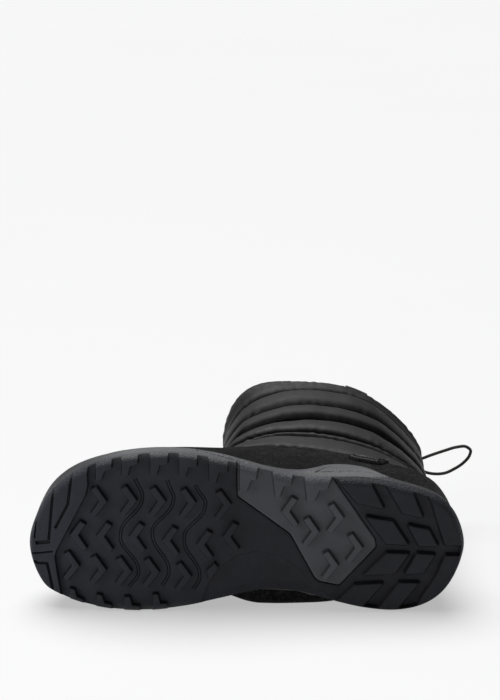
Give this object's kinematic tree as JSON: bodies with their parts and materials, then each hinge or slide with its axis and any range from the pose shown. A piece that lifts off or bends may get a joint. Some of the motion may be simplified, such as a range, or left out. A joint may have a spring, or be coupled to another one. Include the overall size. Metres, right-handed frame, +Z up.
{
  "type": "winter boot",
  "caption": "Left quilted winter boot lying on its inner side: padded ring-channel shaft, suede foot, grey rubber rand, black chevron tread with a grey waist insert and a drawcord loop",
  "frame": {"origin": "on the floor, under the middle of the boot's box, drawcord loop left out", "axes": "+X from the toe to the heel along the sole, +Y from the tread towards the collar, +Z up from the inner to the outer side of the foot"},
  "size_m": [0.3195, 0.2294, 0.1134],
  "materials": {
    "tread_rubber": "matte",
    "grey_rubber": "matte",
    "rand_rubber": "matte, fine grain",
    "footbed_felt": "felt",
    "suede": "napped",
    "quilted_nylon": "dull woven nylon, padded",
    "rim_nylon": "dull woven nylon",
    "tag_fabric": "woven tape",
    "elastic_cord": "braided elastic"
  },
  "bodies": {
    "root": {"outsole": "tread_rubber", "tread_insert": "grey_rubber", "midsole": "rand_rubber", "insole": "footbed_felt", "upper": "suede", "shaft": "quilted_nylon", "collar": "rim_nylon", "collar_tag": "tag_fabric", "drawcord_loop": "elastic_cord"}
  },
  "joints": []
}
